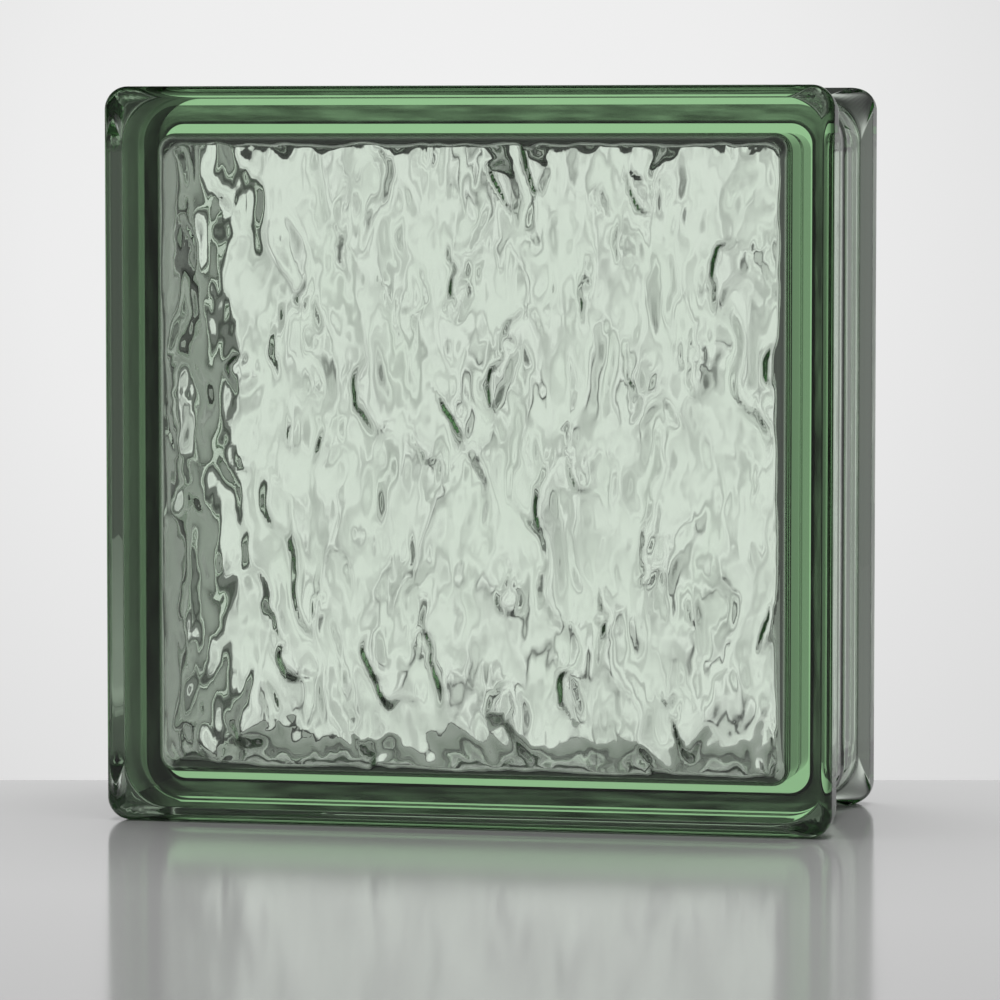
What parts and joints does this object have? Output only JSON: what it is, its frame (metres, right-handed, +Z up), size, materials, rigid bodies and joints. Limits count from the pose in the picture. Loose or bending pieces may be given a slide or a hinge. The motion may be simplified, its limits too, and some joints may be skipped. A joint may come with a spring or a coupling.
{
  "type": "glass block",
  "caption": "Square hollow block of fused pressed glass with wavy inner faces, flanged edges and a mortar channel all round, laid in walls that let light through.",
  "frame": {"origin": "centre of the footprint, on the plane of the lower flange lands that the block stands on", "axes": "+Z up along the block's height, +Y through its depth from the front face to the back face, +X to the right across the front face"},
  "size_m": [0.19, 0.08, 0.19],
  "materials": {
    "glass": "clear pressed glass with a slight green tint"
  },
  "bodies": {
    "root": {"glass_block": "glass"}
  },
  "joints": []
}
